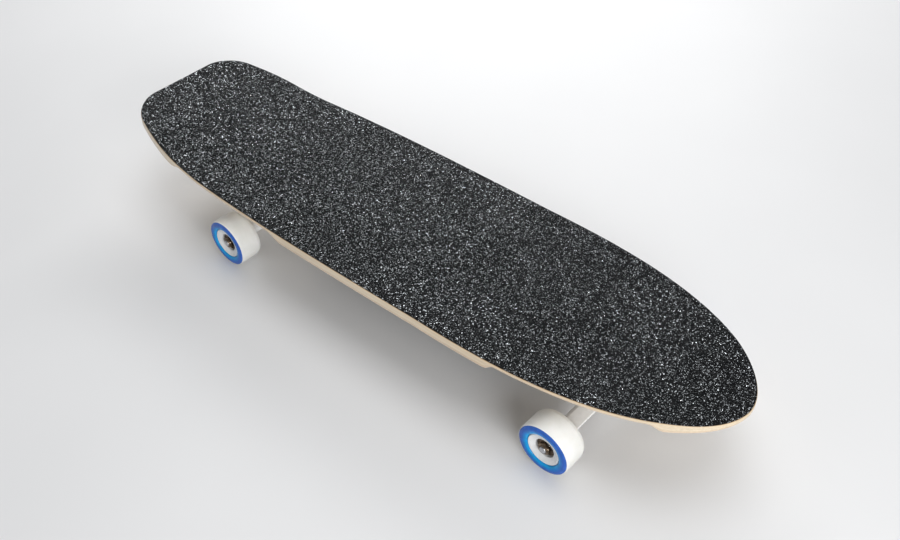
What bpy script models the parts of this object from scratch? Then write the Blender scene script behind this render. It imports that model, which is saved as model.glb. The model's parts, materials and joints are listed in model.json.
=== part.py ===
"""Electric skateboard: a kicktail deck on two sprung trucks, with hub motors in the rear wheels.

The frame's origin is on the ground under the middle of the board. +X points to the nose,
+Y to the rider's left and +Z up. Sizes below are in millimetres, and meshes are in metres.
"""

import math

import bmesh
import bpy
from mathutils import Matrix, Vector

MM = 0.001
GAP = 0.3  # clearance between touching pieces

# Driving dimensions of the whole board.
LENGTH = 871.0
WHEELBASE = 497.4
NOSE_OVERHANG = 149.3  # from the front axle to the tip of the nose
TOP_EDGE_Z = 95.9  # top of the grip along the deck's rim
TYRE_RADIUS = 31.0
TYRE_SIDES = 32
WHEEL_INNER_Y = 92.7  # inner face of each tyre, from the middle of the board

AXLE_Z = TYRE_RADIUS * math.cos(math.pi / TYRE_SIDES)  # the tyre rests on a flat of its tread
FRONT_AXLE_X = LENGTH / 2 - NOSE_OVERHANG
REAR_AXLE_X = FRONT_AXLE_X - WHEELBASE

# Deck outline: an oval nose, a slight waist, and a tapered tail with round corners.
NOSE_LENGTH = 330.6
NOSE_HALF_WIDTH = 115.0
NOSE_POWER = 2.65
NOSE_ROUNDNESS = 0.535
NOSE_TIP_HALF_WIDTH = 5.0
WIDEST_X = -82.5
WIDEST_HALF_WIDTH = 117.0
TAIL_TAPER_X = -262.5
TAIL_TAPER_HALF_WIDTH = 112.2
TAIL_CORNER_X = -351.0
TAIL_CORNER_HALF_WIDTH = 105.2
TAIL_CORNER_BLEND = 40.0
TAIL_END_HALF_WIDTH = 78.4
TAIL_END_RADIUS = 34.0

# Deck section: dished across its width, thinner over each wheel, and kicked up at the tail.
CONCAVE = 3.0
NOSE_FLATTENING = 60.0  # the raised rim comes down to the flat over this length at the nose
TAIL_FLATTENING = 140.0  # the middle comes up to the rim over this length at the tail
DECK_THICKNESS = 13.2
WELL_THICKNESS = 5.6
NOSE_RIM_THICKNESS = 7.0  # the underside is rounded up to this at the tip
GRIP_THICKNESS = 1.0
EDGE_CHAMFER = 2.0
KICK_START_X = -257.5
KICK_BLEND = 76.0
KICK_ANGLE = math.radians(10.9)
REAR_WELL = (-326.0, -306.0, -127.5, -105.5)  # full, thin, thin, full thickness along X
FRONT_WELL = (200.5, 213.0, 370.0, 384.0)
COLUMNS = (-1.0, -0.86, -0.73, -0.6, -0.3, 0.3, 0.6, 0.73, 0.86, 1.0)  # shares of half the width
FLAT_SHARE = 0.6  # the dished middle is flat out to here, and each well starts outside it
WELL_SHARE = 0.73

# Truck, in its own frame: origin at the axle's middle, +X towards the middle of the board.
DECK_UNDER_Z = TOP_EDGE_Z - CONCAVE - GRIP_THICKNESS - GAP - DECK_THICKNESS - AXLE_Z
RISER_THICKNESS = 2.4
BASE_LENGTH = 80.0
BASE_WIDTH = 56.0
BASE_THICKNESS = 5.4
BASE_TOP_Z = DECK_UNDER_Z - 2 * GAP - RISER_THICKNESS
STEER_CENTRE = Vector((22.0, 0.0, 8.0))  # middle of the hanger's ring
STEER_ANGLE = math.radians(30)  # the steering axis rises this much towards the deck's end
KINGPIN_TILT = math.radians(20)
PIVOT_NEAR = 44.0  # the pivot cup's mouth, along the steering axis from the ring
PIVOT_DEEP = 56.0
PIVOT_RADIUS = 4.6
CUP_RADIUS = 7.0
KINGPIN_RADIUS = 4.75
RING_HALF = 4.0
RING_RADIUS = 15.0
UPPER_BUSHING = 13.0
LOWER_BUSHING = 10.0
BUSHING_RADIUS = 12.0
WASHER_THICKNESS = 1.7
NUT_ACROSS_FLATS = 14.3
NUT_THICKNESS = 7.0
HEAD_THICKNESS = 5.5
BAR_TOP = 7.0
BAR_SECTION = (  # (x, z) round the axle: flat on top, swept under on the side of the deck's end
    (-13.4, BAR_TOP),
    (-13.4, 5.2),
    (-3.0, -7.0),
    (4.5, -7.0),
    (9.0, -3.0),
    (9.0, 3.0),
    (3.3, BAR_TOP),
)
BAR_END_Y = WHEEL_INNER_Y - 3.0

# Axle and wheel. Wheel profiles are (radius, distance outwards from the tyre's inner face).
AXLE_RADIUS = 4.0
AXLE_END = 31.4
BEARING_RADIUS = 11.0
BEARING_BORE = AXLE_RADIUS + GAP
BEARING_WIDTH = 7.0
OUTER_BEARING_START = 18.3
INNER_BEARING_START = 1.8
HUB_RADIUS = 24.0
HUB_INNER_RADIUS = 19.6
AXLE_NUT_ACROSS_FLATS = 13.0
AXLE_NUT_THICKNESS = 5.0
AXLE_NUT_START = OUTER_BEARING_START + BEARING_WIDTH + GAP

# Underside housing for the battery and the electronics.
COVER_LENGTH = 336.0
COVER_WIDTH = 144.0
COVER_DEPTH = 31.0
COVER_WALL = 3.0
COVER_CORNER = 22.0
FLANGE_WIDTH = 8.0
FLANGE_THICKNESS = 3.0
GASKET_THICKNESS = 1.2
COVER_MIDDLE_X = (FRONT_AXLE_X + REAR_AXLE_X) / 2
BUTTON_X = COVER_MIDDLE_X + 62.0
BUTTON_RADIUS = 7.5
BEZEL_RADIUS = 10.5
PORT_X = COVER_MIDDLE_X + 104.0
PORT_RADIUS = 11.0
PORT_DEPTH = 16.0
SOCKET_RADIUS = 5.0
SOCKET_DEPTH = 12.0
LENS_X = COVER_MIDDLE_X + 18.0
LENS_SIZE = (36.0, 2.4, 5.0)
CONTROL_HOLE_RADIUS = 8.8

MATERIALS = {
    "grip": ((0.020, 0.021, 0.023), 0.95, 0.0),
    "maple": ((0.72, 0.58, 0.42), 0.50, 0.0),
    "black_plastic": ((0.030, 0.031, 0.033), 0.55, 0.0),
    "black_rubber": ((0.022, 0.022, 0.024), 0.85, 0.0),
    "white_paint": ((0.82, 0.82, 0.80), 0.35, 0.0),
    "white_urethane": ((0.84, 0.82, 0.74), 0.40, 0.0),
    "white_plastic": ((0.84, 0.83, 0.78), 0.30, 0.0),
    "amber_urethane": ((0.75, 0.60, 0.36), 0.35, 0.0),
    "blue_enamel": ((0.010, 0.170, 0.620), 0.25, 0.2),
    "steel": ((0.62, 0.62, 0.63), 0.30, 1.0),
    "copper": ((0.72, 0.35, 0.20), 0.40, 1.0),
    "battery_wrap": ((0.05, 0.20, 0.32), 0.45, 0.0),
    "circuit_board": ((0.02, 0.16, 0.08), 0.45, 0.0),
    "aluminium": ((0.60, 0.61, 0.63), 0.40, 1.0),
    "lens": ((0.75, 0.88, 0.95), 0.15, 0.0),
}


# ---- scene and mesh helpers -------------------------------------------------------------


def clear_scene():
    for old in list(bpy.data.objects):
        bpy.data.objects.remove(old, do_unlink=True)


def material(name):
    """The named Principled material, made once."""
    found = bpy.data.materials.get(name)
    if found:
        return found
    colour, roughness, metallic = MATERIALS[name]
    made = bpy.data.materials.new(name)
    made.use_nodes = True
    shader = made.node_tree.nodes["Principled BSDF"]
    shader.inputs["Base Color"].default_value = (*colour, 1.0)
    shader.inputs["Roughness"].default_value = roughness
    shader.inputs["Metallic"].default_value = metallic
    return made


def add_object(name, shape, finish, place=None, parent=None):
    """Links a bmesh, given in millimetres, as an object; place is its matrix in millimetres."""
    if place:
        bmesh.ops.transform(shape, matrix=place, verts=shape.verts)
    bmesh.ops.scale(shape, vec=(MM, MM, MM), verts=shape.verts)
    bmesh.ops.recalc_face_normals(shape, faces=shape.faces)
    mesh = bpy.data.meshes.new(name)
    shape.to_mesh(mesh)
    shape.free()
    mesh.shade_smooth()
    mesh.set_sharp_from_angle(angle=math.radians(35))
    made = bpy.data.objects.new(name, mesh)
    made.data.materials.append(material(finish))
    bpy.context.scene.collection.objects.link(made)
    if parent:
        attach(made, parent)
    return made


def attach(made, parent):
    """Parents an object whose mesh is in the board's frame, keeping it where it is."""
    made.parent = parent
    made.matrix_parent_inverse = parent.matrix_world.inverted()


def add_pivot(name, position, parent=None):
    """An empty on a joint's axis, which carries the pieces that move with it."""
    pivot = bpy.data.objects.new(name, None)
    bpy.context.scene.collection.objects.link(pivot)
    pivot.location = Vector(position) * MM
    bpy.context.view_layer.update()
    if parent:
        attach(pivot, parent)
        bpy.context.view_layer.update()
    return pivot


def combine(target, operation, tool_name, tool_shape, place=None):
    """A Boolean on target by a hidden tool object."""
    tool = add_object(tool_name, tool_shape, "aluminium", place)
    tool.hide_render = True
    tool.display_type = "WIRE"
    change = target.modifiers.new(tool_name, "BOOLEAN")
    change.operation = operation
    change.object = tool
    return tool


def loft(rings, closed_ends=True):
    """Joins rings of equal length, each a closed loop of points, into one skin."""
    shape = bmesh.new()
    loops = [[shape.verts.new(point) for point in ring] for ring in rings]
    count = len(loops[0])
    for near, far in zip(loops, loops[1:]):
        for i in range(count):
            j = (i + 1) % count
            shape.faces.new((near[i], near[j], far[j], far[i]))
    if closed_ends:
        shape.faces.new(loops[0])
        shape.faces.new(reversed(loops[-1]))
    return shape


def turned(profile, sides, phase=0.0):
    """A ring round +Z from a closed (radius, height) profile that stays off the axis."""
    rings = []
    for step in range(sides):
        angle = phase + 2 * math.pi * step / sides
        rings.append([(r * math.cos(angle), r * math.sin(angle), z) for r, z in profile])
    rings.append(rings[0])
    shape = loft(rings, closed_ends=False)
    bmesh.ops.remove_doubles(shape, verts=shape.verts, dist=1e-4)
    return shape


def post(steps, sides, phase=0.0):
    """A solid round +Z through (radius, height) steps, with flat ends."""
    rings = []
    for radius, height in steps:
        angles = [phase + 2 * math.pi * i / sides for i in range(sides)]
        rings.append([(radius * math.cos(a), radius * math.sin(a), height) for a in angles])
    return loft(rings)


def block(low, high):
    """A box between two corners."""
    shape = bmesh.new()
    bmesh.ops.create_cube(shape, size=1.0)
    size = Vector(high) - Vector(low)
    bmesh.ops.scale(shape, vec=size, verts=shape.verts)
    bmesh.ops.translate(shape, vec=(Vector(high) + Vector(low)) / 2, verts=shape.verts)
    return shape


def soften_vertical(shape, radius, segments=3):
    """Rounds the edges of a box that run along Z."""
    upright = [e for e in shape.edges if abs(e.verts[0].co.z - e.verts[1].co.z) > 1e-3]
    bmesh.ops.bevel(shape, geom=upright, offset=radius, segments=segments, affect="EDGES", profile=0.5)
    return shape


def rounded_outline(length, width, radius, z, steps=5):
    """A rectangle with round corners, as a loop of points at height z."""
    points = []
    for quarter, (sx, sy) in enumerate(((1, 1), (-1, 1), (-1, -1), (1, -1))):
        centre = Vector((sx * (length / 2 - radius), sy * (width / 2 - radius), z))
        for step in range(steps + 1):
            angle = math.pi / 2 * (quarter + step / steps)
            points.append(centre + Vector((math.cos(angle), math.sin(angle), 0.0)) * radius)
    return points


def framed(direction, centre):
    """The matrix that takes +Z to a direction and the origin to centre, keeping +Y level."""
    return Matrix.Translation(centre) @ Vector(direction).to_track_quat("Z", "Y").to_matrix().to_4x4()


def sideways(side, x, y, z):
    """The matrix that turns +Z outwards along side * Y, at a point."""
    return Matrix.Translation((x, y, z)) @ Matrix.Rotation(-side * math.pi / 2, 4, "X")


# ---- deck -------------------------------------------------------------------------------


def smooth(share):
    share = min(max(share, 0.0), 1.0)
    return share * share * (3 - 2 * share)


def half_width(x):
    """Half of the deck's width at x."""
    nose_start = LENGTH / 2 - NOSE_LENGTH
    if x >= nose_start:
        share = min((x - nose_start) / NOSE_LENGTH, 1.0)
        width = NOSE_HALF_WIDTH * (1 - share**NOSE_POWER) ** NOSE_ROUNDNESS
        return max(width, NOSE_TIP_HALF_WIDTH)
    if x >= WIDEST_X:
        share = (x - WIDEST_X) / (nose_start - WIDEST_X)
        return WIDEST_HALF_WIDTH + (NOSE_HALF_WIDTH - WIDEST_HALF_WIDTH) * share**2
    if x >= TAIL_TAPER_X:
        share = (WIDEST_X - x) / (WIDEST_X - TAIL_TAPER_X)
        return WIDEST_HALF_WIDTH + (TAIL_TAPER_HALF_WIDTH - WIDEST_HALF_WIDTH) * share**2
    return tail_half_width(x)


def tail_half_width(x):
    """Two tapers that blend at the tail's corner, then a round corner into the end."""
    tail_end = -LENGTH / 2
    first_slope = (TAIL_TAPER_HALF_WIDTH - TAIL_CORNER_HALF_WIDTH) / (TAIL_TAPER_X - TAIL_CORNER_X)
    second_slope = (TAIL_CORNER_HALF_WIDTH - TAIL_END_HALF_WIDTH) / (TAIL_CORNER_X - tail_end)
    width = TAIL_TAPER_HALF_WIDTH - first_slope * (TAIL_TAPER_X - x)
    past = TAIL_CORNER_X - x
    if past > TAIL_CORNER_BLEND:
        width -= (second_slope - first_slope) * past
    elif past > -TAIL_CORNER_BLEND:
        into_blend = past + TAIL_CORNER_BLEND
        width -= (second_slope - first_slope) * into_blend**2 / (4 * TAIL_CORNER_BLEND)
    from_end = x - tail_end
    if from_end < TAIL_END_RADIUS:
        lean = 1 - from_end / TAIL_END_RADIUS
        width -= TAIL_END_RADIUS * (1 - math.sqrt(1 - lean**2))
    return width


def kick_height(x):
    """How far the tail has risen at x."""
    past = KICK_START_X - x
    if past <= 0:
        return 0.0
    slope = math.tan(KICK_ANGLE)
    if past < KICK_BLEND:
        return slope * past**2 / (2 * KICK_BLEND)
    return slope * (past - KICK_BLEND / 2)


def dish(x, share):
    """How far the surface lies below the height of the raised rim, at a share of half the width."""
    nose_fade = smooth((LENGTH / 2 - x) / NOSE_FLATTENING)
    tail_fade = smooth((x + LENGTH / 2) / TAIL_FLATTENING)
    lift = smooth((abs(share) - FLAT_SHARE) / (1 - FLAT_SHARE))
    return CONCAVE * tail_fade * (1 - nose_fade * lift)


def thickness(x, share):
    """Deck thickness, less in the wheel wells outside the trucks, and less towards the nose's tip."""
    past_well = max(x - FRONT_WELL[3], 0.0) / (LENGTH / 2 - FRONT_WELL[3])
    full = DECK_THICKNESS - (DECK_THICKNESS - NOSE_RIM_THICKNESS) * past_well
    if abs(share) < WELL_SHARE - 0.01:
        return full
    cut = 0.0
    for full_1, thin_1, thin_2, full_2 in (REAR_WELL, FRONT_WELL):
        rise = smooth((x - full_1) / (thin_1 - full_1))
        fall = smooth((full_2 - x) / (full_2 - thin_2))
        cut = max(cut, min(rise, fall))
    return full - (DECK_THICKNESS - WELL_THICKNESS) * cut


def stations():
    """The places along X where the deck's section is set out, tail first."""
    tail_end = -LENGTH / 2
    nose_start = LENGTH / 2 - NOSE_LENGTH
    turns = [math.radians(a) for a in (0, 20, 40, 60, 78)]
    places = [tail_end + TAIL_END_RADIUS * (1 - math.cos(turn)) for turn in turns]
    places += [tail_end + TAIL_END_RADIUS + 12 * i for i in (0.5, 1.5, 3.0)]
    for well in (REAR_WELL, FRONT_WELL):
        full_1, thin_1, thin_2, full_2 = well
        places += [full_1, (full_1 + thin_1) / 2, thin_1, thin_2, (thin_2 + full_2) / 2, full_2]
    places += [KICK_START_X - KICK_BLEND * share for share in (0.0, 0.3, 0.85, 1.0)]
    places += [-360.0, -240.0, -200.0, -165.0]
    places += [-60.0, 0.0, 60.0, 120.0, 170.0, 250.0, 290.0, 328.0, 350.0]
    turns = [math.radians(a) for a in (62, 66, 70, 74, 78, 81.5, 84.5, 87)]
    places += [nose_start + NOSE_LENGTH * math.sin(turn) for turn in turns]
    places.append(LENGTH / 2)
    return sorted(places)


def rim_slope(x):
    """The deck's unit normal in its long section, which leans only where the tail kicks up."""
    step = 1.0
    rise = (kick_height(x - step) - kick_height(x + step)) / (2 * step)
    return Vector((rise, 0.0, 1.0)).normalized()


def surface_point(x, share, depth, inset=0.0):
    """A point at a depth below the grip's surface, measured square to the surface."""
    across = half_width(x) - inset
    height = TOP_EDGE_Z + kick_height(x) - dish(x, share)
    point = Vector((x, share * across, height)) - rim_slope(x) * depth
    point.x = max(point.x, -LENGTH / 2)
    return point


def make_deck():
    top = GRIP_THICKNESS + GAP
    rings = []
    for x in stations():
        ring = [surface_point(x, share, top) for share in COLUMNS]
        under = []
        for share in COLUMNS:
            inset = EDGE_CHAMFER if abs(share) == 1 else 0.0
            under.append(surface_point(x, share, top + thickness(x, share), inset))
        rim_depth = top + thickness(x, 1.0) - EDGE_CHAMFER
        ring.append(surface_point(x, 1.0, rim_depth))
        ring += reversed(under)
        ring.append(surface_point(x, -1.0, rim_depth))
        rings.append(ring)
    add_object("deck", loft(rings), "maple")


def make_grip_tape():
    rings = []
    for x in stations():
        ring = [surface_point(x, share, 0.0) for share in COLUMNS]
        ring += [surface_point(x, share, GRIP_THICKNESS) for share in reversed(COLUMNS)]
        rings.append(ring)
    add_object("grip_tape", loft(rings), "grip")


# ---- underside housing ------------------------------------------------------------------


def cover_top():
    """Height of the cover's flange, under the gasket."""
    return AXLE_Z + DECK_UNDER_Z - 2 * GAP - GASKET_THICKNESS


def control_height():
    """Height of the middle of the cover's side wall."""
    return cover_top() - FLANGE_THICKNESS - (COVER_DEPTH - FLANGE_THICKNESS) / 2


def make_cover():
    """A tub, open at the top, with a flange round its mouth."""
    top = cover_top()
    bottom = top - COVER_DEPTH
    flange = 2 * FLANGE_WIDTH
    wall = 2 * COVER_WALL
    outline = [
        (flange, COVER_CORNER + FLANGE_WIDTH, top),
        (flange, COVER_CORNER + FLANGE_WIDTH, top - FLANGE_THICKNESS),
        (0.0, COVER_CORNER, top - FLANGE_THICKNESS),
        (0.0, COVER_CORNER, bottom + 4),
        (-3.0, COVER_CORNER - 1.5, bottom + 1.2),
        (-8.0, COVER_CORNER - 4, bottom),
    ]
    inside = [
        (-wall - 4, COVER_CORNER - COVER_WALL - 2, bottom + COVER_WALL),
        (-wall, COVER_CORNER - COVER_WALL, bottom + COVER_WALL + 3),
        (-wall, COVER_CORNER - COVER_WALL, top),
    ]
    centre = Matrix.Translation((COVER_MIDDLE_X, 0.0, 0.0))

    def ring(grow, radius, z):
        return rounded_outline(COVER_LENGTH + grow, COVER_WIDTH + grow, radius, z)

    shell = bmesh.new()
    loops = [[shell.verts.new(p) for p in ring(*row)] for row in outline + inside]
    count = len(loops[0])
    floor_at = len(outline) - 1
    for index, (near, far) in enumerate(zip(loops, loops[1:])):
        if index == floor_at:
            continue
        for i in range(count):
            j = (i + 1) % count
            shell.faces.new((near[i], near[j], far[j], far[i]))
    shell.faces.new(loops[floor_at])
    shell.faces.new(loops[floor_at + 1])
    for i in range(count):
        j = (i + 1) % count
        shell.faces.new((loops[-1][i], loops[-1][j], loops[0][j], loops[0][i]))
    cover = add_object("underside_cover", shell, "black_plastic", centre)
    wall_y = COVER_WIDTH / 2
    for name, x in (("button_hole", BUTTON_X), ("port_hole", PORT_X)):
        hole = post([(CONTROL_HOLE_RADIUS, -COVER_WALL - 4), (CONTROL_HOLE_RADIUS, 4)], 24)
        combine(cover, "DIFFERENCE", name, hole, sideways(1, x, wall_y, control_height()))
    width, _, height = LENS_SIZE
    slot_low = (LENS_X - width / 2 - GAP, wall_y - COVER_WALL - 2, control_height() - height / 2 - GAP)
    slot_high = (LENS_X + width / 2 + GAP, wall_y + 2, control_height() + height / 2 + GAP)
    combine(cover, "DIFFERENCE", "lens_slot", block(slot_low, slot_high))


def make_gasket():
    low = cover_top() + GAP
    high = low + GASKET_THICKNESS
    flange = 2 * FLANGE_WIDTH
    outer = (COVER_LENGTH + flange, COVER_WIDTH + flange, COVER_CORNER + FLANGE_WIDTH)
    inner = (COVER_LENGTH - 2 * COVER_WALL, COVER_WIDTH - 2 * COVER_WALL, COVER_CORNER - COVER_WALL)
    loops = [rounded_outline(*outer, low), rounded_outline(*outer, high)]
    loops += [rounded_outline(*inner, high), rounded_outline(*inner, low)]
    loops.append(loops[0])
    shape = loft(loops, closed_ends=False)
    bmesh.ops.remove_doubles(shape, verts=shape.verts, dist=1e-4)
    add_object("cover_gasket", shape, "black_rubber", Matrix.Translation((COVER_MIDDLE_X, 0.0, 0.0)))


def make_electronics():
    """Twenty cells in two rows, the board that balances them, and the motor controller."""
    floor = cover_top() - COVER_DEPTH + COVER_WALL + 1.0
    cell_radius = 9.1
    cells = 10
    half_length = 65.5
    outline = []
    for side in (1, -1):
        order = range(cells) if side == 1 else reversed(range(cells))
        for cell in order:
            centre = (cell - (cells - 1) / 2) * 2 * cell_radius
            for step in range(5):
                angle = math.pi - math.pi * (step + 0.5) / 5
                bulge = Vector((cell_radius * math.cos(angle), 0.0, cell_radius * math.sin(angle)))
                if side == -1:
                    bulge = -bulge
                outline.append(Vector((centre, 0.0, 0.0)) + bulge)
    middle = Vector((COVER_MIDDLE_X - 56.0, 0.0, floor + cell_radius))
    rings = []
    for y in (-half_length, half_length):
        rings.append([point + middle + Vector((0.0, y, 0.0)) for point in outline])
    add_object("battery_pack", loft(rings), "battery_wrap")

    board_x = COVER_MIDDLE_X + 42.0
    board = soften_vertical(block((board_x, -50, floor), (board_x + 22, 50, floor + 6)), 2.0, 1)
    add_object("battery_board", board, "circuit_board")

    controller_x = COVER_MIDDLE_X + 70.0
    body = block((controller_x, -36, floor), (controller_x + 84, 36, floor + 18))
    controller = add_object("motor_controller", soften_vertical(body, 4.0, 2), "aluminium")
    for index in range(6):
        y = -27.5 + 11.0 * index
        slot = block((controller_x - 2, y - 2, floor + 12), (controller_x + 86, y + 2, floor + 20))
        combine(controller, "DIFFERENCE", f"cooling_slot_{index + 1}", slot)


def make_controls():
    """The power button in its bezel, the charge port with its hinged cap, and the indicator."""
    wall_y = COVER_WIDTH / 2
    height = control_height()
    button_place = sideways(1, BUTTON_X, wall_y, height)
    sleeve = CONTROL_HOLE_RADIUS - GAP
    opening = BUTTON_RADIUS + GAP
    bezel = [(opening, -4.5), (sleeve, -4.5), (sleeve, GAP), (BEZEL_RADIUS, GAP), (BEZEL_RADIUS, 1.4)]
    bezel += [(BEZEL_RADIUS - 0.8, 2.0), (opening, 2.0)]
    add_object("button_bezel", turned(bezel, 24), "aluminium", button_place)

    pivot = add_pivot("power_button_slide", (BUTTON_X, wall_y, height))
    button = post([(BUTTON_RADIUS, -3.5), (BUTTON_RADIUS, 3.0), (BUTTON_RADIUS - 0.8, 3.6)], 24)
    add_object("power_button", button, "black_plastic", button_place, pivot)

    port = [(SOCKET_RADIUS, 1.6), (SOCKET_RADIUS, -SOCKET_DEPTH)]
    outside = [(sleeve, -PORT_DEPTH), (sleeve, GAP), (PORT_RADIUS, GAP), (PORT_RADIUS, 1.6)]
    port_place = sideways(1, PORT_X, wall_y, height)
    add_object("charge_port", cupped(port, outside, 24), "black_plastic", port_place)

    hinge_z = height - PORT_RADIUS - 1.5
    cap_pivot = add_pivot("charge_cap_hinge", (PORT_X, wall_y + 2.5, hinge_z))
    cap = post([(PORT_RADIUS, 1.9), (PORT_RADIUS, 3.4), (PORT_RADIUS - 0.8, 4.0)], 24)
    cap_object = add_object("charge_port_cap", cap, "black_rubber", port_place, cap_pivot)
    tab = block((PORT_X - 4, wall_y + 2.0, hinge_z - 1), (PORT_X + 4, wall_y + 3.3, height - 8))
    combine(cap_object, "UNION", "cap_tab", tab)

    width, depth, tall = LENS_SIZE
    low = (LENS_X - width / 2, wall_y - depth, height - tall / 2)
    high = (LENS_X + width / 2, wall_y + 0.6, height + tall / 2)
    add_object("indicator_lens", block(low, high), "lens")


def cupped(hollow, outside, sides):
    """A cup round +Z: hollow runs from the mouth to the floor, outside from the base to the mouth."""
    rings = []
    for radius, height in list(hollow)[::-1] + list(outside[::-1]):
        angles = [2 * math.pi * i / sides for i in range(sides)]
        rings.append([(radius * math.cos(a), radius * math.sin(a), height) for a in angles])
    return loft(rings)


# ---- trucks -----------------------------------------------------------------------------


def steer_axis():
    """From the hanger's ring up to the pivot cup, in the truck's frame."""
    return Vector((-math.cos(STEER_ANGLE), 0.0, math.sin(STEER_ANGLE)))


def kingpin_axis():
    """Up along the kingpin, in the truck's frame."""
    return Vector((-math.sin(KINGPIN_TILT), 0.0, math.cos(KINGPIN_TILT)))


def make_truck(end, axle_x, turn):
    """One truck: everything that is bolted to the deck, then the hanger and its axle."""
    place = Matrix.Translation((axle_x, 0.0, AXLE_Z)) @ Matrix.Rotation(turn, 4, "Z")
    along_pin = place @ framed(kingpin_axis(), STEER_CENTRE)
    along_steer = place @ framed(steer_axis(), STEER_CENTRE)

    half_length = BASE_LENGTH / 2
    half_base = BASE_WIDTH / 2
    pad_top = DECK_UNDER_Z - GAP
    pad_low = pad_top - RISER_THICKNESS
    pad = block((-half_length, -half_base, pad_low), (half_length, half_base, pad_top))
    add_object(f"{end}_riser_pad", soften_vertical(pad, 8), "black_rubber", place)

    make_baseplate(end, place, along_pin, along_steer)
    make_kingpin_stack(end, along_pin)
    return make_hanger(end, place, along_pin, along_steer)


def make_baseplate(end, place, along_pin, along_steer):
    half_length = BASE_LENGTH / 2
    half_base = BASE_WIDTH / 2
    base_low = BASE_TOP_Z - BASE_THICKNESS
    plate = block((-half_length, -half_base, base_low), (half_length, half_base, BASE_TOP_Z))
    base = add_object(f"{end}_baseplate", soften_vertical(plate, 8), "white_paint", place)
    seat = RING_HALF + UPPER_BUSHING + WASHER_THICKNESS + 3 * GAP
    boss = post([(13.0, seat), (15.5, seat + 18)], 24)
    combine(base, "UNION", f"{end}_kingpin_boss", boss, along_pin)
    housing = post([(9.6, PIVOT_NEAR + 1), (10.0, PIVOT_DEEP + 3)], 24)
    combine(base, "UNION", f"{end}_pivot_housing", housing, along_steer)
    top_cut = block((-60, -40, BASE_TOP_Z), (60, 40, BASE_TOP_Z + 30))
    combine(base, "DIFFERENCE", f"{end}_base_top_cut", top_cut, place)
    bore = post([(KINGPIN_RADIUS + GAP, seat - 5), (KINGPIN_RADIUS + GAP, seat + 30)], 24)
    combine(base, "DIFFERENCE", f"{end}_kingpin_bore", bore, along_pin)
    recess = post([(8.6, seat + 8.6), (8.6, seat + 30)], 24)
    combine(base, "DIFFERENCE", f"{end}_head_recess", recess, along_pin)
    cup_hole = post([(CUP_RADIUS + GAP, PIVOT_NEAR - 8), (CUP_RADIUS + GAP, PIVOT_DEEP + GAP)], 24)
    combine(base, "DIFFERENCE", f"{end}_cup_hole", cup_hole, along_steer)

    hollow = [(PIVOT_RADIUS + GAP, PIVOT_NEAR), (PIVOT_RADIUS + GAP, PIVOT_DEEP - 1.5)]
    outside = [(CUP_RADIUS, PIVOT_DEEP), (CUP_RADIUS, PIVOT_NEAR)]
    add_object(f"{end}_pivot_cup", cupped(hollow, outside, 20), "black_rubber", along_steer)


def make_kingpin_stack(end, along_pin):
    """The kingpin with its bushings, washers and nut, from the deck down."""
    upper = RING_HALF + GAP
    washer_low = upper + UPPER_BUSHING + GAP
    seat = washer_low + WASHER_THICKNESS + GAP
    lower = -RING_HALF - GAP
    washer_high = lower - LOWER_BUSHING - GAP
    nut_high = washer_high - WASHER_THICKNESS - GAP
    nut_low = nut_high - NUT_THICKNESS
    head_low = seat + 8.6 + GAP
    bore = KINGPIN_RADIUS + GAP

    pin = [(KINGPIN_RADIUS - 0.8, nut_low - 2.0), (KINGPIN_RADIUS, nut_low - 1.2)]
    pin.append((KINGPIN_RADIUS, head_low))
    pin += [(8.0, head_low), (8.0, head_low + HEAD_THICKNESS - 1.0), (7.2, head_low + HEAD_THICKNESS)]
    add_object(f"{end}_kingpin", post(pin, 20), "steel", along_pin)

    def sleeve(name, low, high, radius_low, radius_high, finish):
        profile = [(bore, low), (radius_low, low), (radius_high, high), (bore, high)]
        add_object(f"{end}_{name}", turned(profile, 24), finish, along_pin)

    washer_top = washer_low + WASHER_THICKNESS
    sleeve("upper_washer", washer_low, washer_top, BUSHING_RADIUS, BUSHING_RADIUS, "steel")
    sleeve("upper_bushing", upper, upper + UPPER_BUSHING, BUSHING_RADIUS, 11.2, "amber_urethane")
    sleeve("lower_bushing", lower - LOWER_BUSHING, lower, 8.8, 11.0, "amber_urethane")
    sleeve("lower_washer", washer_high - WASHER_THICKNESS, washer_high, 9.5, 9.5, "steel")
    nut_radius = NUT_ACROSS_FLATS / 2 / math.cos(math.pi / 6)
    nut = hex_nut(nut_radius, bore, nut_low, nut_high)
    add_object(f"{end}_kingpin_nut", nut, "steel", along_pin)


def hex_nut(radius, bore, low, high):
    """A six-sided nut with a 12-sided bore; the outside repeats each flat's middle."""
    rings = []
    for step in range(12):
        angle = 2 * math.pi * step / 12
        reach = radius if step % 2 == 0 else radius * math.cos(math.pi / 6)
        edge = Vector((math.cos(angle), math.sin(angle), 0.0))
        wall = edge * (bore / math.cos(math.pi / 12))
        rings.append([wall + Vector((0, 0, low)), edge * reach + Vector((0, 0, low))])
        rings[-1] += [edge * reach + Vector((0, 0, high)), wall + Vector((0, 0, high))]
    rings.append(rings[0])
    shape = loft(rings, closed_ends=False)
    bmesh.ops.remove_doubles(shape, verts=shape.verts, dist=1e-4)
    return shape


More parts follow.
